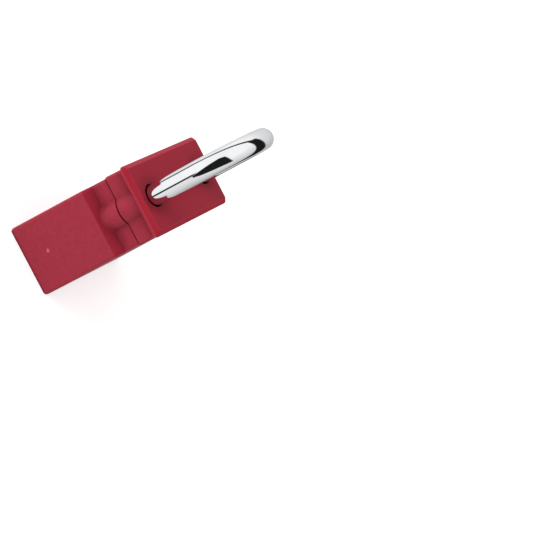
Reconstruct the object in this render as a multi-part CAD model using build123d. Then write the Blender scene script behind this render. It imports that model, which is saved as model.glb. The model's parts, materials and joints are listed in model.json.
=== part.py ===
from build123d import *
import math
import os

# Safety padlock: two-part moulded body, steel shackle, six-pin cylinder and a cam that drives two balls.
# Millimetres. Z up along the shackle legs, X across the two legs, Y through the thickness.
# The origin is the middle of the bottom face, where the key goes in.
# As modelled, the shackle is down and the plug is turned to "open", so both balls are drawn back.

# ---- driving sizes: body -------------------------------------------------------------------------
body_width = 38.0
body_thickness = 20.0        # at the parting line, the thinnest place of the housing
body_height = 44.5
cap_height = 9.35            # parting line to the top face
waist_height = 7.1           # parting line down to the flat key-end block
notch_depth = 2.8            # how far the narrow sides step in over the waist
shoulder_rise = 2.15         # height of the sloped shoulder over the block
key_end_step = 0.4           # draft: each wide face stands out this much more at the key end
cap_step = 0.3               # cap stands out from the housing on every side
cap_draft = 0.2              # each of the cap's wide faces leans in this much up to the lip
lip_step = 0.5               # lip stands out from the housing on the wide faces
lip_height = 1.6             # lip round the top, bevel included
lip_rise = 2.6               # height of the slope under the lip
bevel_width = 1.15           # sloped band round the top face
bevel_height = 1.2
corner_radius = 1.1          # upright corners of the lip
top_corner_radius = 0.55     # the same corners round the top face
outline_radius = 0.9         # along the outline of the wide faces
bend_radius = 0.4            # where the notch's faces meet
ridge_radius = 0.3
seam_height = 0.2            # each half's share of the V groove along the parting line
seam_depth = 0.4
tube_wall = 1.8              # half-round tube round each leg bore
tube_blend = 0.5

# ---- driving sizes: shackle ----------------------------------------------------------------------
shackle_diameter = 6.0
leg_inset = 6.25             # leg centre in from the narrow side
shackle_clear_height = 25.4  # top face to the inside of the bow
shackle_lift = 12.0
toe_escape = 0.6             # toe stands this far over the top face when lifted
toe_chamfer = 0.6
toe_floor_gap = 1.0
collar_length = 2.8
neck_depth = 1.1
leg_clearance = 0.1
mouth_clearance = 0.32
mouth_depth = 4.5
mouth_bevel = 0.1

# ---- driving sizes: balls and cam ----------------------------------------------------------------
ball_diameter = 5.0
ball_stroke = 1.05
ball_clearance = 0.05
ball_roof = 0.3              # cross bore above the parting face
cam_clearance = 0.1
cam_swing_gap = 0.25
cam_shoulder = 0.65          # cam's flats stand out over its shaft
cam_end_gap = 0.2
notch_clearance = 0.15
tongue_wall = 0.9            # between the cap's tongue and each leg bore
tongue_side_wall = 1.3
tongue_gap = 0.1

# ---- driving sizes: cylinder ---------------------------------------------------------------------
plug_radius = 5.0
plug_clearance = 0.05
plug_flange = 0.6            # how far the plug's face stands out over the plug
plug_face_inset = 0.4
plug_rear_flange = 1.0
face_clearance = 0.15
shell_wall = 1.55
cavity_clearance = 0.1
front_thickness = 2.0        # housing in front of the shell
keyway_width = 1.8
keyway_depth = 6.4
keyway_offset = 0.7
keyway_run_out = 0.4         # keyway goes on past the last pin
ward_width = 0.7
ward_depth = 0.6
upper_ward = 1.3             # from the middle of the keyway
lower_ward = 1.1
pin_count = 6
pin_pitch = 3.6
first_pin_height = 4.2       # above the shell's front
last_pin_margin = 2.8        # last pin to the shell's back
pin_diameter = 2.8
pin_clearance = 0.05
pin_tip_length = 0.9
pin_tip_radius = 0.5
key_pin_shortest = 2.2
cut_step = 0.35
cuts = [3, 1, 4, 2, 5, 2]
key_pin_drop = 0.6           # how far the longest key pin falls with no key in
driver_length = 3.2
pin_spring_length = 4.0
pin_spring_wire = 0.36
pin_spring_turns = 5
bible_wall = 1.5
cover_thickness = 0.5
cover_margin = 0.6           # cover reaches past the pin chambers
clip_thickness = 0.7
clip_width = 1.5
clip_opening = 70.0          # degrees
groove_depth = 0.8
tail_width = 2.0
tail_cover = 1.2             # cam shaft left outside the tail's ends
tail_height = 2.6

# ---- driving sizes: shackle retention ------------------------------------------------------------
retaining_pin_diameter = 2.4
retaining_pin_cover = 0.7    # below the cap's tongue
heel_floor = 3.0             # spring seat
spring_wire = 0.9
spring_turns = 4
coil_flats = 8               # straight runs in a turn of a spring
coil_sides = 4               # flats round the wire
small_gap = 0.1
over = 1.0                   # cutters run this far past what they cut

# ---- places worked out from the driving sizes ----------------------------------------------------
parting_height = body_height - cap_height
block_height = parting_height - waist_height
leg_x = body_width / 2 - leg_inset
leg_radius = shackle_diameter / 2
bore_radius = leg_radius + leg_clearance
mouth_radius = leg_radius + mouth_clearance
tube_radius = mouth_radius + tube_wall
bow_height = body_height + shackle_clear_height - (leg_x - leg_radius)
toe_end = body_height + toe_escape - shackle_lift

ball_radius = ball_diameter / 2
ball_height = parting_height + ball_roof + ball_radius
ball_back_x = leg_x - leg_radius - ball_clearance - ball_radius
ball_locked_x = ball_back_x + ball_stroke
cam_low = ball_back_x - ball_radius - cam_clearance
cam_high = cam_low + ball_stroke
cam_shaft_radius = cam_low - cam_shoulder
cam_top = ball_height + ball_radius
cam_base = parting_height + small_gap

shell_front = front_thickness
shell_back = shell_front + first_pin_height + (pin_count - 1) * pin_pitch + last_pin_margin
shell_radius = plug_radius + plug_clearance + shell_wall
pin_radius = pin_diameter / 2
chamber_radius = pin_radius + pin_clearance
pin_heights = [shell_front + first_pin_height + i * pin_pitch for i in range(pin_count)]
shear_end = math.sqrt(plug_radius ** 2 - pin_radius ** 2) - small_gap / 4
key_pin_lengths = [key_pin_shortest + cut_step * cuts[i % len(cuts)] for i in range(pin_count)]
chamber_floor = shear_end - max(key_pin_lengths) + pin_tip_length - key_pin_drop
driver_start = plug_radius + plug_clearance
spring_start = driver_start + driver_length
cover_start = spring_start + pin_spring_length
bible_end = cover_start + cover_thickness
bible_half = chamber_radius + bible_wall
cover_half = chamber_radius + cover_margin
cover_low = pin_heights[0] - cover_half
cover_high = pin_heights[-1] + cover_half

clip_start = shell_back + small_gap
clip_inner = plug_radius - groove_depth + small_gap / 2
clip_outer = clip_inner + clip_width
plug_back = clip_start + clip_thickness + small_gap / 2
plug_end = plug_back + plug_rear_flange
tail_length = 2 * (cam_shaft_radius - tail_cover)
tail_end = plug_end + tail_height

# the cam and the plug's clip both go up through this chamber
cam_chamber_radius = max(cam_high + cam_swing_gap, clip_outer + face_clearance)
tongue_x = leg_x - bore_radius - tongue_wall
tongue_y = cam_chamber_radius + tongue_side_wall

retaining_radius = retaining_pin_diameter / 2
retaining_height = shell_back - retaining_pin_cover - retaining_radius
collar_top = retaining_height - retaining_radius - small_gap - shackle_lift
heel_end = collar_top - collar_length
neck_radius = leg_radius - neck_depth
neck_top = max(ball_height + ball_radius - shackle_lift, retaining_height + retaining_radius + small_gap)


def rounded_plate(width, depth, radius, height):
    return Pos(0, 0, height) * RectangleRounded(width, depth, radius)


def post(radius, low, high, x=0.0, y=0.0):
    return Pos(x, y, (low + high) / 2) * Cylinder(radius, high - low)


def bar(x_low, x_high, y_half, z_low, z_high):
    size = (x_high - x_low, 2 * y_half, z_high - z_low)
    return Pos((x_low + x_high) / 2, 0, (z_low + z_high) / 2) * Box(*size)


def rod_x(radius, x_low, x_high, height):
    return Pos((x_low + x_high) / 2, 0, height) * Rot(0, 90, 0) * Cylinder(radius, x_high - x_low)


def level(edge, height):
    box = edge.bounding_box()
    return abs(box.min.Z - height) < 1e-3 and abs(box.max.Z - height) < 1e-3


# ---- moulded body --------------------------------------------------------------------------------
def cylinder_cavity(top):
    barrel = post(shell_radius + cavity_clearance, shell_front, top)
    bible = bar(0, bible_end + cavity_clearance, bible_half + cavity_clearance, shell_front, top)
    return barrel + bible


def slab(points, bends, low_half, high_half):
    """Outline in X and Z, mirrored and rounded where its notch bends, between two leaning wide faces."""
    corners = points + [(-x, z) for x, z in reversed(points)]
    face = make_face(Polyline(*corners, close=True))
    turns = [v for v in face.vertices() if any(abs(abs(v.X) - x) + abs(v.Y - z) < 1e-6 for x, z in bends)]
    plate = extrude(Plane.XZ * fillet(turns, bend_radius), max(low_half, high_half) + over, both=True)
    low, high = points[0][1], points[-1][1]
    ends = Polyline((-low_half, low), (low_half, low), (high_half, high), (-high_half, high), close=True)
    return plate & extrude(Plane.YZ * make_face(ends), body_width, both=True)


def round_wide_outline(solid, skip):
    """Round the outline of both wide faces, apart from the edges at the skipped height."""
    wide = [f for f in solid.faces() if abs(f.normal_at().Y) > 0.9]
    return fillet([e for f in wide for e in f.edges() if not level(e, skip)], outline_radius)


def tubes(low, high):
    return post(tube_radius, low, high, leg_x) + post(tube_radius, low, high, -leg_x)


def blend_tubes(solid, floor_x, low, high):
    """Small hollow round where each tube leaves the floor of the notch."""
    meet = [e for e in solid.edges() if abs(abs(e.center().X) - floor_x) < 1e-3
            and low < e.center().Z < high and abs(e.center().Y) < tube_radius
            and e.bounding_box().size.Z > 1]
    return fillet(meet, tube_blend)


def cut_seam(half_body, height):
    """Bevel the outline of the parting face, deeper in than it is high."""
    parting = [f for f in half_body.faces() if level(f, height)][0]
    return chamfer(parting.edges(), seam_depth, seam_height, reference=parting)


def make_lower_housing():
    half = body_thickness / 2
    edge_x = body_width / 2
    floor_x = edge_x - notch_depth
    bends = [(edge_x, block_height), (floor_x, block_height + shoulder_rise)]
    body = slab([(edge_x, 0)] + bends + [(floor_x, parting_height)], bends, half + key_end_step, half)
    body = round_wide_outline(body, parting_height)
    body += tubes(block_height - shoulder_rise, parting_height)
    body = blend_tubes(body, floor_x, block_height, parting_height)
    body = cut_seam(body, parting_height)
    body -= cylinder_cavity(parting_height + over)
    body -= bar(-tongue_x - tongue_gap, tongue_x + tongue_gap, tongue_y + tongue_gap,
                shell_back, parting_height + over)
    body -= post(plug_radius + plug_flange + face_clearance, -over, shell_front + over)
    body -= post(bore_radius, heel_floor, parting_height + over, -leg_x)
    body -= post(bore_radius, toe_end - toe_floor_gap, parting_height + over, leg_x)
    body -= rod_x(retaining_radius + small_gap / 2, -leg_x, 0, retaining_height)
    return body


def make_lip():
    depth = body_thickness + 2 * lip_step
    low = body_height - lip_height
    ridge = body_height - bevel_height
    lip = loft([
        rounded_plate(body_width, depth, corner_radius, low),
        rounded_plate(body_width, depth, corner_radius, ridge),
        rounded_plate(body_width - 2 * bevel_width, depth - 2 * bevel_width, top_corner_radius, body_height),
    ], ruled=True)
    return fillet([e for e in lip.edges() if level(e, ridge) or level(e, body_height)], ridge_radius)


def make_upper_cap():
    half = body_thickness / 2 + cap_step
    floor_x = body_width / 2 - notch_depth + cap_step
    lip_low = body_height - lip_height
    bends = [(floor_x, lip_low - lip_rise)]
    outline = [(floor_x, parting_height)] + bends + [(body_width / 2, lip_low)]
    cap = round_wide_outline(slab(outline, bends, half, half - cap_draft), parting_height)
    cap += tubes(parting_height, lip_low)
    cap = blend_tubes(cap, floor_x, parting_height, lip_low)
    cap = cut_seam(cap, parting_height)
    cap += make_lip()
    cap += bar(-tongue_x, tongue_x, tongue_y, shell_back, parting_height)
    cap -= post(cam_chamber_radius, shell_back - over, cam_top + cam_end_gap)
    cap -= rod_x(ball_radius + ball_clearance, -leg_x, leg_x, ball_height)
    for side in (-1, 1):
        cap -= post(bore_radius, parting_height - over, body_height + over, side * leg_x)
        cap -= post(mouth_radius, body_height - mouth_depth, body_height + over, side * leg_x)
        bevel = Cone(mouth_radius, mouth_radius + mouth_bevel, mouth_bevel)
        cap -= Pos(side * leg_x, 0, body_height - mouth_bevel / 2) * bevel
    return cap


# ---- shackle -------------------------------------------------------------------------------------
def make_shackle():
    path = Wire([
        Line((-leg_x, 0, heel_end), (-leg_x, 0, bow_height)),
        ThreePointArc((-leg_x, 0, bow_height), (0, 0, bow_height + leg_x), (leg_x, 0, bow_height)),
        Line((leg_x, 0, bow_height), (leg_x, 0, toe_end)),
    ])
    shackle = sweep(Plane((-leg_x, 0, heel_end)) * Circle(leg_radius), path=path)
    ends = [e for e in shackle.edges() if level(e, heel_end) or level(e, toe_end)]
    shackle = chamfer(ends, toe_chamfer)
    groove = post(leg_radius + over, collar_top, neck_top)
    groove -= post(neck_radius, collar_top - over, neck_top + over)
    shackle -= Pos(-leg_x, 0, 0) * groove
    for side in (-1, 1):
        cutter = Rot(90, 0, 0) * Cylinder(ball_radius + notch_clearance, 2 * shackle_diameter)
        shackle -= Pos(side * ball_locked_x, 0, ball_height) * cutter
    return shackle


def make_coil(wire, radius, length, turns):
    """Closed spring standing on Z from 0 to length."""
    steps = turns * coil_flats
    sections = []
    for i in range(steps + 1):
        place = Rot(0, 0, 360 * i / coil_flats) * Pos(radius, 0, wire / 2 + (length - wire) * i / steps)
        sections.append(place * Rot(90, 0, 0) * RegularPolygon(wire / 2, coil_sides))
    return loft(sections, ruled=True)


def make_shackle_spring():
    length = heel_end - heel_floor - small_gap
    coil = make_coil(spring_wire, leg_radius - spring_wire / 2 - small_gap, length, spring_turns)
    return Pos(-leg_x, 0, heel_floor + small_gap / 2) * coil


def make_retaining_pin():
    return rod_x(retaining_radius, -leg_x + neck_radius + small_gap, -shell_radius - small_gap / 2,
                 retaining_height)


# ---- cylinder ------------------------------------------------------------------------------------
def make_cylinder_shell():
    shell = post(shell_radius, shell_front, shell_back)
    shell += bar(0, bible_end, bible_half, shell_front, shell_back)
    shell -= post(plug_radius + plug_clearance, shell_front - over, shell_back + over)
    for height in pin_heights:
        shell -= rod_x(chamber_radius, 0, bible_end + over, height)
    shell -= bar(cover_start, bible_end + over, cover_half, cover_low, cover_high)
    return shell


def make_chamber_cover():
    return bar(cover_start, bible_end, cover_half, cover_low, cover_high)


def make_cylinder_plug():
    """Plug as turned to open: its pin chambers point along -Y."""
    plug = post(plug_radius, shell_front - small_gap, shell_back + small_gap / 2)
    plug += post(plug_radius + plug_flange, plug_face_inset, shell_front - small_gap / 2)
    plug += post(plug_radius - groove_depth, shell_back, plug_end)
    plug += post(plug_radius - small_gap, plug_back, plug_end)
    plug += Pos(0, 0, (plug_end + tail_end) / 2) * Box(tail_length, tail_width, tail_end - plug_end)
    slot_top = pin_heights[-1] + chamber_radius + keyway_run_out
    slot = Box(keyway_width, keyway_depth, slot_top)
    slot += Pos(keyway_width / 2, upper_ward, 0) * Box(2 * ward_depth, ward_width, slot_top)
    slot -= Pos(-keyway_width / 2, -lower_ward, 0) * Box(ward_depth, ward_width, slot_top)
    plug -= Pos(0, keyway_offset, slot_top / 2) * slot
    for height in pin_heights:
        drill = post(chamber_radius, chamber_floor, plug_radius + over)
        drill += Pos(0, 0, chamber_floor - pin_tip_length / 2) * Cone(
            pin_tip_radius + pin_clearance, chamber_radius, pin_tip_length)
        plug -= Pos(0, 0, height) * Rot(90, 0, 0) * drill
    return plug


def make_key_pin(length):
    """Pin standing on its pointed tip along Z, flat end at the shear line."""
    pin = post(pin_radius, shear_end - length + pin_tip_length, shear_end)
    tip = Cone(pin_tip_radius, pin_radius, pin_tip_length)
    pin += Pos(0, 0, shear_end - length + pin_tip_length / 2) * tip
    return pin


def make_driver_pin(height):
    return rod_x(pin_radius, driver_start, spring_start, height)


def make_pin_spring(height):
    coil = make_coil(pin_spring_wire, pin_radius - pin_spring_wire / 2, pin_spring_length - small_gap,
                     pin_spring_turns)
    return Pos(spring_start + small_gap / 2, 0, height) * Rot(0, 90, 0) * coil


def make_retaining_clip():
    ring = post(clip_outer, clip_start, clip_start + clip_thickness)
    ring -= post(clip_inner, clip_start - over, clip_start + clip_thickness + over)
    reach = 2 * clip_outer
    half = math.radians(clip_opening / 2)
    wedge = Polygon((0, 0), (reach * math.cos(half), reach * math.sin(half)),
                    (reach * math.cos(half), -reach * math.sin(half)), align=None)
    return ring - Pos(0, 0, clip_start - over) * extrude(wedge, clip_thickness + 2 * over)


def cam_edge(start):
    """A quarter of the cam: the radius falls evenly from the lobe to the flat over 90 degrees."""
    points = []
    for i in range(9):
        angle = math.radians(start + 90 * i / 8)
        fall = i / 8 if start % 180 == 90 else 1 - i / 8
        radius = cam_high - ball_stroke * fall
        points.append((radius * math.cos(angle), radius * math.sin(angle)))
    return Spline(points)


def make_driver_cam():
    """Lobes along Y while open, so that the balls along X are drawn back."""
    outline = make_face([cam_edge(start) for start in (0, 90, 180, 270)])
    cam = Pos(0, 0, cam_base) * extrude(outline, cam_top - cam_base)
    cam += post(cam_shaft_radius, plug_end + small_gap / 2, cam_base)
    slot = Box(tail_length + small_gap, tail_width + small_gap, 2 * (tail_height + small_gap))
    return cam - Pos(0, 0, plug_end) * slot


def make_ball(side):
    return Pos(side * ball_back_x, 0, ball_height) * Sphere(ball_radius)


# ---- write one file per piece --------------------------------------------------------------------
pieces = {
    "lower_housing": make_lower_housing(),
    "upper_cap": make_upper_cap(),
    "shackle": make_shackle(),
    "shackle_spring": make_shackle_spring(),
    "shackle_retaining_pin": make_retaining_pin(),
    "cylinder_shell": make_cylinder_shell(),
    "chamber_cover": make_chamber_cover(),
    "cylinder_plug": make_cylinder_plug(),
    "plug_retaining_clip": make_retaining_clip(),
    "driver_cam": make_driver_cam(),
    "ball_heel": make_ball(-1),
    "ball_toe": make_ball(1),
}
for number, height in enumerate(pin_heights, start=1):
    pin = make_key_pin(key_pin_lengths[number - 1])
    pieces[f"key_pin_{number}"] = Pos(0, 0, height) * Rot(90, 0, 0) * pin
    pieces[f"driver_pin_{number}"] = make_driver_pin(height)
    pieces[f"pin_spring_{number}"] = make_pin_spring(height)

os.makedirs("parts", exist_ok=True)
for name, piece in pieces.items():
    export_step(piece, f"parts/{name}.step")
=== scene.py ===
"""Looks of the safety padlock: moulded red nylon, chromed shackle and the metal of its lock works."""
import json
import math

import bmesh
import bpy
from mathutils import Matrix, Vector


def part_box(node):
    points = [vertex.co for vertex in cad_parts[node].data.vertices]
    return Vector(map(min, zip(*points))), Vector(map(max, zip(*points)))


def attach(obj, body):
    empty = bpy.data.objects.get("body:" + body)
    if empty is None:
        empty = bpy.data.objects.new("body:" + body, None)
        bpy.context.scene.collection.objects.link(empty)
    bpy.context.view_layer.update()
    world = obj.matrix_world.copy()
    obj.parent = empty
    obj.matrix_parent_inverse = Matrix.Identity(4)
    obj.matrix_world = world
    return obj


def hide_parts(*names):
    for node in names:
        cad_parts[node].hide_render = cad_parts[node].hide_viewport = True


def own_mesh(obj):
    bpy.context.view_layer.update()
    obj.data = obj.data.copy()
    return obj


MM = 0.001

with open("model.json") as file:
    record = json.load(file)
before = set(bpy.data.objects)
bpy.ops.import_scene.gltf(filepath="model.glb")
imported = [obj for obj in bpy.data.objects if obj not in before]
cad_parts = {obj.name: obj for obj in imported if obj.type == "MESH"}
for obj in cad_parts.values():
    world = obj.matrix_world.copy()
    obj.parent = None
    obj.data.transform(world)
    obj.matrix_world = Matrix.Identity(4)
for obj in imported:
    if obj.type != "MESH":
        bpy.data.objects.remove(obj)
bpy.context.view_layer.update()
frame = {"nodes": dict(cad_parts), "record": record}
nodes = frame["nodes"]
housing_low, housing_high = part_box("lower_housing")
BODY_HALF_WIDTH = -housing_low.x
BODY_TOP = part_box("upper_cap")[1].z
PARTING = housing_high.z              # where the housing and the cap meet
PIN_SPRINGS = 6

# reds of the nylon: its own tones, then painted light and shade
SIDE_REDS = (0.312, 0.0250, 0.045), (0.342, 0.0290, 0.051)
SPECKLE_RED = (0.41, 0.042, 0.066)
# painted shade on faces that slope upwards, and on the lip's bevel
SLOPE_SHADE_RED = (0.296, 0.0140, 0.030)
LIP_SHADE_RED = (0.335, 0.0150, 0.032)
# painted shade on faces looking up, dulling their sheen
TOP_SHADE_RED = (0.332, 0.0160, 0.034)
# painted shade in creases
CREASE_SHADE_RED = (0.10, 0.005, 0.012)
# painted highlight along edges
EDGE_HIGHLIGHT_RED = (0.58, 0.066, 0.094)
# painted shade along the parting line, and the darker one in its groove
PARTING_SHADE_RED = (0.14, 0.006, 0.015)
GROOVE_SHADE_RED = (0.07, 0.003, 0.008)
TORN_REDS = (0.36, 0.06, 0.08), (0.55, 0.19, 0.21)
LIP_REACH = 3.5 * MM                  # slopes this close under the top face belong to the lip
PARTING_SHADE = PARTING + 0.07 * MM   # middle of the band of painted shade along the parting line
PARTING_SHADE_REACH = 0.30 * MM       # half its width

# tones of the studio, as shares of white
HORIZON, ZENITH = 0.65, 0.92          # its light as matt surfaces see it
UNLIT = 0.012                         # its dark parts, which only reflections show
TABLE_GREYS = 0.80, 0.82
TABLE_GLOW = 0.45                     # lifts the table to a clean pale background

# the camera's place in metres, and in degrees where it looks and how far it is turned round that heading
CAMERA_PLACE = Vector((-0.37333, -0.01149, 0.30004))
CAMERA_AZIMUTH, CAMERA_ELEVATION, CAMERA_ROLL = -3.4511, -32.8243, 64.4878

# sockets of the Mix node, which has the same names once more for each type of data
MIX_FACTOR, MIX_FIRST, MIX_SECOND, MIX_RESULT = 0, 6, 7, 2


# ---- node helpers --------------------------------------------------------------------------------
def new_material(name):
    """A material with one shader, together with its node tree and that shader."""
    material = bpy.data.materials.new(name)
    material.use_nodes = True
    tree = material.node_tree
    tree.nodes.clear()
    output = tree.nodes.new("ShaderNodeOutputMaterial")
    shader = tree.nodes.new("ShaderNodeBsdfPrincipled")
    tree.links.new(shader.outputs["BSDF"], output.inputs["Surface"])
    return material, tree, shader


def add(tree, kind, links=None, **settings):
    """A node with its settings, and its inputs linked or given a value."""
    node = tree.nodes.new(kind)
    for key, value in settings.items():
        setattr(node, key, value)
    for socket, source in (links or {}).items():
        if isinstance(source, bpy.types.NodeSocket):
            tree.links.new(source, node.inputs[socket])
        else:
            node.inputs[socket].default_value = source
    return node


def grey(value):
    return (value, value, value)


def ramp(tree, source, stops):
    """Colour that follows the source. Each stop is a place with a colour or a grey."""
    node = add(tree, "ShaderNodeValToRGB", {"Fac": source})
    elements = node.color_ramp.elements
    while len(elements) < len(stops):
        elements.new(0.5)
    for element, (place, value) in zip(elements, stops):
        colour = value if isinstance(value, tuple) else grey(value)
        element.position = place
        element.color = (*colour, 1)
    return node.outputs["Color"]


def object_coordinates(tree):
    return add(tree, "ShaderNodeTexCoord").outputs["Object"]


def noise(tree, where, scale, detail=2.0, roughness=0.5):
    """Soft noise, its scale in waves to the metre."""
    node = add(tree, "ShaderNodeTexNoise", {"Vector": where, "Scale": scale, "Detail": detail,
                                            "Roughness": roughness})
    return node.outputs["Fac"]


def mix_colours(tree, factor, first, second):
    """The first colour where the factor is 0, the second where it is 1."""
    node = add(tree, "ShaderNodeMix", {MIX_FACTOR: factor}, data_type="RGBA")
    for place, colour in ((MIX_FIRST, first), (MIX_SECOND, second)):
        if isinstance(colour, bpy.types.NodeSocket):
            tree.links.new(colour, node.inputs[place])
        else:
            node.inputs[place].default_value = (*colour, 1)
    return node.outputs[MIX_RESULT]


def maths(tree, operation, *values):
    return add(tree, "ShaderNodeMath", dict(enumerate(values)), operation=operation).outputs[0]


def from_signed(tree, value):
    """A value from -1 to 1, brought to 0 to 1."""
    return maths(tree, "MULTIPLY_ADD", value, 0.5, 0.5)


def bump(tree, height, strength, distance, under=None):
    links = {"Height": height, "Strength": strength, "Distance": distance}
    if under is not None:
        links["Normal"] = under
    return add(tree, "ShaderNodeBump", links).outputs["Normal"]


def edge_mask(tree, radius):
    """Above 0 on sharp outward and inward edges, 0 on open faces."""
    rounded = add(tree, "ShaderNodeBevel", {"Radius": radius}, samples=6).outputs["Normal"]
    true = add(tree, "ShaderNodeNewGeometry").outputs["True Normal"]
    node = add(tree, "ShaderNodeVectorMath", {0: rounded, 1: true}, operation="DOT_PRODUCT")
    return maths(tree, "SUBTRACT", 1.0, node.outputs["Value"])


def openness(tree, distance):
    """1 on open faces, less where other faces stand within the distance."""
    return add(tree, "ShaderNodeAmbientOcclusion", {"Distance": distance}, samples=8).outputs["AO"]


def seen_directly(tree):
    """1 for what the camera sees, also through clear parts, 0 for reflections and bounced light."""
    path = add(tree, "ShaderNodeLightPath")
    return either(tree, path.outputs["Is Camera Ray"], path.outputs["Is Transmission Ray"])


# ---- headings and masks --------------------------------------------------------------------------
def heading(azimuth, elevation):
    """Unit vector from degrees round Z and degrees over the floor."""
    turn, lift = math.radians(azimuth), math.radians(elevation)
    return Vector((math.cos(lift) * math.cos(turn), math.cos(lift) * math.sin(turn), math.sin(lift)))


def along(tree, way, azimuth, elevation):
    """How far a vector reaches along a heading."""
    node = add(tree, "ShaderNodeVectorMath", {0: way, 1: tuple(heading(azimuth, elevation))},
               operation="DOT_PRODUCT")
    return node.outputs["Value"]


def past(tree, value, edge, soft):
    """0 below the edge, 1 above it, smooth in between."""
    limits = {"Value": value, "From Min": edge - soft, "From Max": edge + soft}
    return add(tree, "ShaderNodeMapRange", limits, interpolation_type="SMOOTHSTEP").outputs["Result"]


def disc(tree, way, azimuth, elevation, radius, soft=1.5):
    """1 inside a round patch of the studio, its size in degrees seen from the padlock."""
    near, far = math.radians(radius - soft), math.radians(radius + soft)
    edge = (math.cos(near) + math.cos(far)) / 2
    return past(tree, along(tree, way, azimuth, elevation), edge, math.cos(near) - edge)


def every(tree, *masks):
    whole = masks[0]
    for mask in masks[1:]:
        whole = maths(tree, "MULTIPLY", whole, mask)
    return whole


def either(tree, *masks):
    whole = masks[0]
    for mask in masks[1:]:
        whole = maths(tree, "MAXIMUM", whole, mask)
    return whole


def without(tree, mask):
    return maths(tree, "SUBTRACT", 1.0, mask)


def gap(tree, way, side, azimuth, elevation, radius, half_width):
    """Thin dark gap between two soft boxes: a ring round a heading, kept on one side of the studio."""
    across = maths(tree, "SUBTRACT", along(tree, way, azimuth, elevation), math.cos(math.radians(radius)))
    across = maths(tree, "ABSOLUTE", across)
    ring = without(tree, past(tree, across, half_width, half_width / 2))
    on_side = past(tree, along(tree, way, side, 0), 0.1, 0.05)
    return every(tree, ring, on_side)


# ---- materials -----------------------------------------------------------------------------------
def moulded_red(tree, where, speckle):
    """The nylon's own red, clouded and speckled."""
    cloud = ramp(tree, noise(tree, where, scale=700, detail=3), [(0.3, 0), (0.7, 1)])
    red = mix_colours(tree, cloud, *SIDE_REDS)
    return mix_colours(tree, ramp(tree, speckle, [(0.42, 0), (0.62, 0.3)]), red, SPECKLE_RED)


def slope_shaded_red(tree, red, upward, height):
    """Painted shade: a deeper red on the slopes, with a painted shade of its own on the lip's bevel."""
    sloped = past(tree, upward, edge=0.3, soft=0.06)
    on_lip = past(tree, height, edge=BODY_TOP - LIP_REACH, soft=0.5 * MM)
    red = mix_colours(tree, sloped, red, SLOPE_SHADE_RED)
    return mix_colours(tree, every(tree, sloped, on_lip), red, LIP_SHADE_RED)


def crease_shaded_red(tree, red, height, top_face):
    """Painted shade in the creases, less of it on the top face. The floor under the body makes no crease.
    """
    crease = ramp(tree, openness(tree, 4.0 * MM), [(0.45, 0.88), (0.85, 0.46), (0.99, 0)])
    off_floor = past(tree, height, edge=3.5 * MM, soft=1.5 * MM)
    top_share = maths(tree, "MULTIPLY_ADD", top_face, -0.45, 1.0)
    return mix_colours(tree, every(tree, crease, off_floor, top_share), red, CREASE_SHADE_RED)


def seam_shaded_red(tree, red, height):
    """Painted shade along the parting line, darkest in its groove and in other tight gaps."""
    distance = maths(tree, "ABSOLUTE", maths(tree, "SUBTRACT", height, PARTING_SHADE))
    off_seam = past(tree, distance, edge=PARTING_SHADE_REACH, soft=0.07 * MM)
    red = mix_colours(tree, off_seam, PARTING_SHADE_RED, red)
    groove = ramp(tree, openness(tree, 1.2 * MM), [(0.45, 0.95), (0.92, 0)])
    return mix_colours(tree, groove, red, GROOVE_SHADE_RED)


def red_nylon():
    """Matt moulded nylon with grain and pits, and painted light and shade: by where the face looks, on
    edges, in creases and along the parting line.
    """
    material, tree, shader = new_material("red_nylon")
    where = object_coordinates(tree)
    speckle = noise(tree, where, scale=2600, detail=3, roughness=0.6)
    upward = along(tree, add(tree, "ShaderNodeNewGeometry").outputs["Normal"], 0, 90)
    height = along(tree, where, 0, 90)
    top_face = past(tree, upward, edge=0.9, soft=0.06)
    red = moulded_red(tree, where, speckle)
    # painted shade on the slopes and the lip's bevel
    red = slope_shaded_red(tree, red, upward, height)
    # painted shade on faces looking up
    red = mix_colours(tree, top_face, red, TOP_SHADE_RED)
    # painted shade in the creases
    red = crease_shaded_red(tree, red, height, top_face)
    # painted highlight along the edges
    edge_highlight = ramp(tree, edge_mask(tree, 0.42 * MM), [(0.006, 0), (0.06, 0.8)])
    red = mix_colours(tree, edge_highlight, red, EDGE_HIGHLIGHT_RED)
    # painted shade along the parting line and in its groove
    tree.links.new(seam_shaded_red(tree, red, height), shader.inputs["Base Color"])
    rough = ramp(tree, speckle, [(0.35, 0.38), (0.70, 0.50)])
    tree.links.new(rough, shader.inputs["Roughness"])
    shader.inputs["IOR"].default_value = 1.45
    shader.inputs["Specular IOR Level"].default_value = 0.11
    grain = bump(tree, speckle, strength=0.35, distance=0.03 * MM)
    pits = noise(tree, where, scale=900, detail=2)
    relief = bump(tree, pits, strength=0.25, distance=0.04 * MM, under=grain)
    tree.links.new(relief, shader.inputs["Normal"])
    return material


def chromed_steel():
    """Bright chrome plate with the faintest polishing lines and handling haze."""
    material, tree, shader = new_material("chromed_steel")
    where = object_coordinates(tree)
    haze = noise(tree, where, scale=160, detail=4, roughness=0.6)
    shader.inputs["Metallic"].default_value = 1.0
    plate = ramp(tree, haze, [(0.35, (0.80, 0.815, 0.83)), (0.7, (0.87, 0.88, 0.89))])
    tree.links.new(plate, shader.inputs["Base Color"])
    rough = ramp(tree, haze, [(0.40, 0.035), (0.75, 0.10)])
    tree.links.new(rough, shader.inputs["Roughness"])
    polish = noise(tree, where, scale=5200, detail=2)
    relief = bump(tree, polish, strength=0.05, distance=0.004 * MM)
    tree.links.new(relief, shader.inputs["Normal"])
    return material


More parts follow.
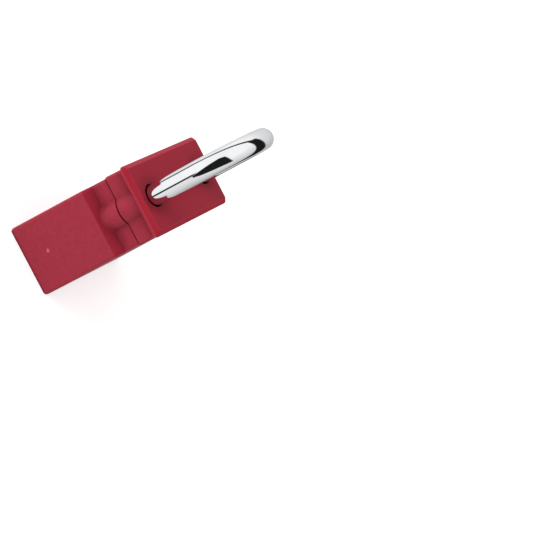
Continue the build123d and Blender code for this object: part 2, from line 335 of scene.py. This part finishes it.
def turned_metal(name, dark, light, rings, rough):
    """Machined metal: fine rings round the part's own axis, and a little tarnish."""
    material, tree, shader = new_material(name)
    where = object_coordinates(tree)
    tarnish = noise(tree, where, scale=240, detail=4, roughness=0.6)
    shader.inputs["Metallic"].default_value = 1.0
    tone = mix_colours(tree, ramp(tree, tarnish, [(0.35, 0), (0.7, 1)]), dark, light)
    tree.links.new(tone, shader.inputs["Base Color"])
    roughness = ramp(tree, tarnish, [(0.3, rough), (0.75, rough + 0.14)])
    tree.links.new(roughness, shader.inputs["Roughness"])
    pattern = {"Vector": where, "Scale": rings, "Distortion": 0.6, "Detail": 1.0}
    lines = add(tree, "ShaderNodeTexWave", pattern, wave_type="RINGS", rings_direction="Z")
    relief = bump(tree, lines.outputs["Fac"], strength=0.25, distance=0.008 * MM)
    tree.links.new(relief, shader.inputs["Normal"])
    return material


def drawn_steel(name, dark, light, scale, rough):
    """Ground or drawn steel: streaks along one axis."""
    material, tree, shader = new_material(name)
    where = object_coordinates(tree)
    stretch = {"Vector": where, "Scale": (1.0, 1.0, 0.08)}
    stretched = add(tree, "ShaderNodeMapping", stretch).outputs["Vector"]
    streak = noise(tree, stretched, scale, detail=4, roughness=0.65)
    shader.inputs["Metallic"].default_value = 1.0
    tree.links.new(mix_colours(tree, streak, dark, light), shader.inputs["Base Color"])
    roughness = ramp(tree, streak, [(0.3, rough), (0.7, rough + 0.15)])
    tree.links.new(roughness, shader.inputs["Roughness"])
    relief = bump(tree, streak, strength=0.2, distance=0.01 * MM)
    tree.links.new(relief, shader.inputs["Normal"])
    return material


def gate_scar():
    """Stress-whitened nylon where the moulding's feed was broken off."""
    material, tree, shader = new_material("gate_scar")
    where = object_coordinates(tree)
    torn = noise(tree, where, scale=5200, detail=4, roughness=0.7)
    deep, pale = TORN_REDS
    tree.links.new(ramp(tree, torn, [(0.35, deep), (0.65, pale)]), shader.inputs["Base Color"])
    shader.inputs["Roughness"].default_value = 0.6
    relief = bump(tree, torn, strength=0.7, distance=0.06 * MM)
    tree.links.new(relief, shader.inputs["Normal"])
    return material


MATERIALS = {
    "red_nylon": red_nylon(),
    "chromed_steel": chromed_steel(),
    "brass": turned_metal("brass", dark=(0.56, 0.38, 0.14), light=(0.78, 0.60, 0.28),
                          rings=900, rough=0.24),
    "brass_face": turned_metal("brass_face", dark=(0.60, 0.43, 0.17), light=(0.80, 0.64, 0.32),
                               rings=1400, rough=0.20),
    "nickel_silver": turned_metal("nickel_silver", dark=(0.60, 0.57, 0.48), light=(0.74, 0.72, 0.64),
                                  rings=900, rough=0.22),
    "hard_steel": drawn_steel("hard_steel", dark=(0.42, 0.43, 0.45), light=(0.60, 0.61, 0.63),
                              scale=2200, rough=0.22),
    "spring_steel": drawn_steel("spring_steel", dark=(0.36, 0.37, 0.39), light=(0.56, 0.57, 0.59),
                                scale=3000, rough=0.26),
}


def dress_cad_nodes():
    for part in frame["record"]["subparts"]:
        mesh = nodes[part["node"]].data
        mesh.materials.clear()
        mesh.materials.append(MATERIALS[part["material_slot"]])


# ---- small moulded detail ------------------------------------------------------------------------
def torn_reach(angle):
    """How far the torn stub reaches at an angle, as a share of its radius: ragged, and longer one way."""
    ragged = 1 + 0.16 * math.sin(3 * angle + 0.7) + 0.09 * math.sin(7 * angle)
    return ragged + 0.5 * math.cos(angle - 0.54) ** 2


def make_gate_mark():
    """Torn little stub of the moulding's feed, low on the narrow side below the heel leg."""
    radius, proud, sunk = 0.44 * MM, 0.07 * MM, 0.01 * MM
    aside, height = 0.27 * MM, 8.5 * MM
    mesh = bmesh.new()
    rings, spokes = 5, 20
    previous = None
    for ring in range(rings, -1, -1):
        share = ring / rings
        row = []
        for spoke in range(spokes if ring else 1):
            angle = 2 * math.pi * spoke / spokes
            reach = radius * share * torn_reach(angle)
            rise = proud * (1 - share ** 2) * (1 + 0.35 * math.sin(2 * angle + 5 * share))
            row.append(mesh.verts.new((-BODY_HALF_WIDTH - rise + sunk,
                                       aside + reach * math.cos(angle),
                                       height + reach * math.sin(angle))))
        if previous:
            for spoke in range(spokes):
                after = (spoke + 1) % spokes
                if len(row) == 1:
                    mesh.faces.new((previous[spoke], previous[after], row[0]))
                else:
                    mesh.faces.new((previous[spoke], previous[after], row[after], row[spoke]))
        previous = row
    bmesh.ops.recalc_face_normals(mesh, faces=mesh.faces)
    data = bpy.data.meshes.new("gate_mark")
    mesh.to_mesh(data)
    mesh.free()
    for face in data.polygons:
        face.use_smooth = True
    data.materials.append(gate_scar())
    piece = bpy.data.objects.new("gate_mark", data)
    bpy.context.scene.collection.objects.link(piece)
    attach(piece, "body")


def make_pin_springs():
    """The pin springs again, as pieces of their own in place of the CAD nodes."""
    for number in range(1, PIN_SPRINGS + 1):
        node, joint = nodes[f"pin_spring_{number}"], f"driver_pin_{number}_slide"
        piece = bpy.data.objects.new(f"pin_spring_{number}_live", node.data.copy())
        bpy.context.scene.collection.objects.link(piece)
        piece.matrix_world = node.matrix_world
        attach(piece, "body")
        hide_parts(node.name)
        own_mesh(piece)


# ---- studio --------------------------------------------------------------------------------------
def make_floor():
    """Pale table top. Polished parts see the studio below it instead."""
    half_width, drop = 3.0, 0.02 * MM   # the drop keeps it off the lock's bottom face
    corners = [(x * half_width, y * half_width, 0) for x, y in ((-1, -1), (1, -1), (1, 1), (-1, 1))]
    data = bpy.data.meshes.new("floor")
    data.from_pydata(corners, [], [(0, 1, 2, 3)])
    floor = bpy.data.objects.new("floor", data)
    bpy.context.scene.collection.objects.link(floor)
    material, tree, shader = new_material("floor")
    tree.nodes.remove(shader)
    output = next(node for node in tree.nodes if node.type == "OUTPUT_MATERIAL")
    clouds = noise(tree, object_coordinates(tree), scale=14, detail=3)
    dark, light = TABLE_GREYS
    diffuse = add(tree, "ShaderNodeBsdfDiffuse", {"Color": ramp(tree, clouds, [(0.3, dark), (0.7, light)])})
    glow = maths(tree, "MULTIPLY", seen_directly(tree), TABLE_GLOW)
    lift = add(tree, "ShaderNodeEmission", {"Color": (1, 1, 1, 1), "Strength": glow})
    both = add(tree, "ShaderNodeAddShader", {0: diffuse.outputs[0], 1: lift.outputs[0]})
    tree.links.new(both.outputs[0], output.inputs["Surface"])
    data.materials.append(material)
    floor.location.z = -drop
    floor.visible_glossy = False


def dark_room(tree, way, height):
    """The unlit part of the room: a round patch that the soft boxes cut off, rounded at its upper end."""
    patch = disc(tree, way, -151, -23, radius=72)
    key_side = disc(tree, way, 111, 35, radius=123)
    fill_side = disc(tree, way, -105, 28, radius=80)
    over_table = past(tree, height, edge=-0.548, soft=0.012)
    low_box = disc(tree, way, -55, -54, radius=66)
    room = every(tree, patch, key_side, fill_side, over_table, without(tree, low_box))
    small_end = disc(tree, way, -178, 30, radius=16, soft=2)
    large_end = disc(tree, way, -157, 27, radius=20, soft=2)
    ceiling = past(tree, along(tree, way, 13, 47), edge=0.06, soft=0.03)
    return every(tree, either(tree, room, small_end, large_end), without(tree, ceiling))


def dark_arch(tree, way):
    """Dark crescent round a soft box, kept on one side and open at its foot."""
    outside = disc(tree, way, 15, 7, radius=67)
    soft_box = disc(tree, way, 18, 1, radius=50, soft=2)
    foot = disc(tree, way, -20, -36, radius=11, soft=3)
    high_side = past(tree, along(tree, way, -75, 30), edge=0.15, soft=0.1)
    low_side = past(tree, along(tree, way, -75, -30), edge=0.3, soft=0.1)
    return every(tree, outside, without(tree, soft_box), without(tree, foot),
                 either(tree, high_side, low_side))


def dark_gaps(tree, way, height):
    """Two thin gaps between soft boxes, the second one only low down."""
    first = gap(tree, way, side=82, azimuth=36, elevation=1, radius=60.3, half_width=0.085)
    second = gap(tree, way, side=-171, azimuth=-81, elevation=0, radius=90, half_width=0.12)
    low_down = without(tree, past(tree, height, edge=-0.4, soft=0.1))
    return either(tree, first, every(tree, second, low_down))


def make_world():
    """White studio. Its dark room, arch and gaps between the soft boxes show only in reflections."""
    world = bpy.data.worlds.new("studio")
    bpy.context.scene.world = world
    world.use_nodes = True
    tree = world.node_tree
    tree.nodes.clear()
    output = tree.nodes.new("ShaderNodeOutputWorld")
    way = add(tree, "ShaderNodeTexCoord").outputs["Generated"]
    height = along(tree, way, 0, 90)
    unlit = either(tree, dark_room(tree, way, height), dark_arch(tree, way), dark_gaps(tree, way, height))
    mirrored = ramp(tree, from_signed(tree, along(tree, way, -35, -30)),
                    [(0.32, 1.06), (0.55, 0.88), (0.80, 0.74), (0.97, 0.54)])
    mirrored = mix_colours(tree, unlit, mirrored, grey(UNLIT))
    soft = ramp(tree, from_signed(tree, height), [(0.5, HORIZON), (1.0, ZENITH)])
    in_mirror = add(tree, "ShaderNodeLightPath").outputs["Is Glossy Ray"]
    colour = mix_colours(tree, in_mirror, soft, mirrored)
    colour = mix_colours(tree, seen_directly(tree), colour, grey(1.0))
    background = add(tree, "ShaderNodeBackground", {"Color": colour, "Strength": 1.0})
    tree.links.new(background.outputs[0], output.inputs["Surface"])


def area_light(name, place, target, size, power):
    """Soft box of a size in metres and a power in watts, turned towards the target."""
    data = bpy.data.lights.new(name, "AREA")
    data.shape = "RECTANGLE"
    data.size, data.size_y = size
    data.energy = power
    light = bpy.data.objects.new(name, data)
    bpy.context.scene.collection.objects.link(light)
    light.location = place
    light.rotation_mode = "QUATERNION"
    light.rotation_quaternion = (target - place).to_track_quat("-Z", "Y")
    light.visible_glossy = False


def make_lights():
    middle = Vector((0, 0, BODY_TOP * 0.7))
    area_light("key", place=middle + 0.9 * heading(118, 14), target=middle, size=(0.6, 0.5), power=4.6)
    area_light("low", place=0.8 * heading(168, 5), target=middle, size=(0.5, 0.08), power=0.5)
    area_light("fill", place=middle + 0.9 * heading(-97, 8), target=middle, size=(0.5, 0.4), power=0.9)


def make_camera():
    """Long lens above the narrow side, rolled as when the lock hangs on its side."""
    data = bpy.data.cameras.new("camera")
    data.sensor_width = 36.0
    data.lens = 107.8
    data.clip_start, data.clip_end = 0.01, 20
    camera = bpy.data.objects.new("camera", data)
    bpy.context.scene.collection.objects.link(camera)
    aim = heading(CAMERA_AZIMUTH, CAMERA_ELEVATION).to_track_quat("-Z", "Y").to_matrix()
    turn = aim @ Matrix.Rotation(math.radians(CAMERA_ROLL), 3, "Z")
    camera.matrix_world = Matrix.Translation(CAMERA_PLACE) @ turn.to_4x4()
    bpy.context.scene.camera = camera


dress_cad_nodes()
make_gate_mark()
make_pin_springs()
make_floor()
make_world()
make_lights()
make_camera()
bpy.context.scene.view_settings.view_transform = "Standard"
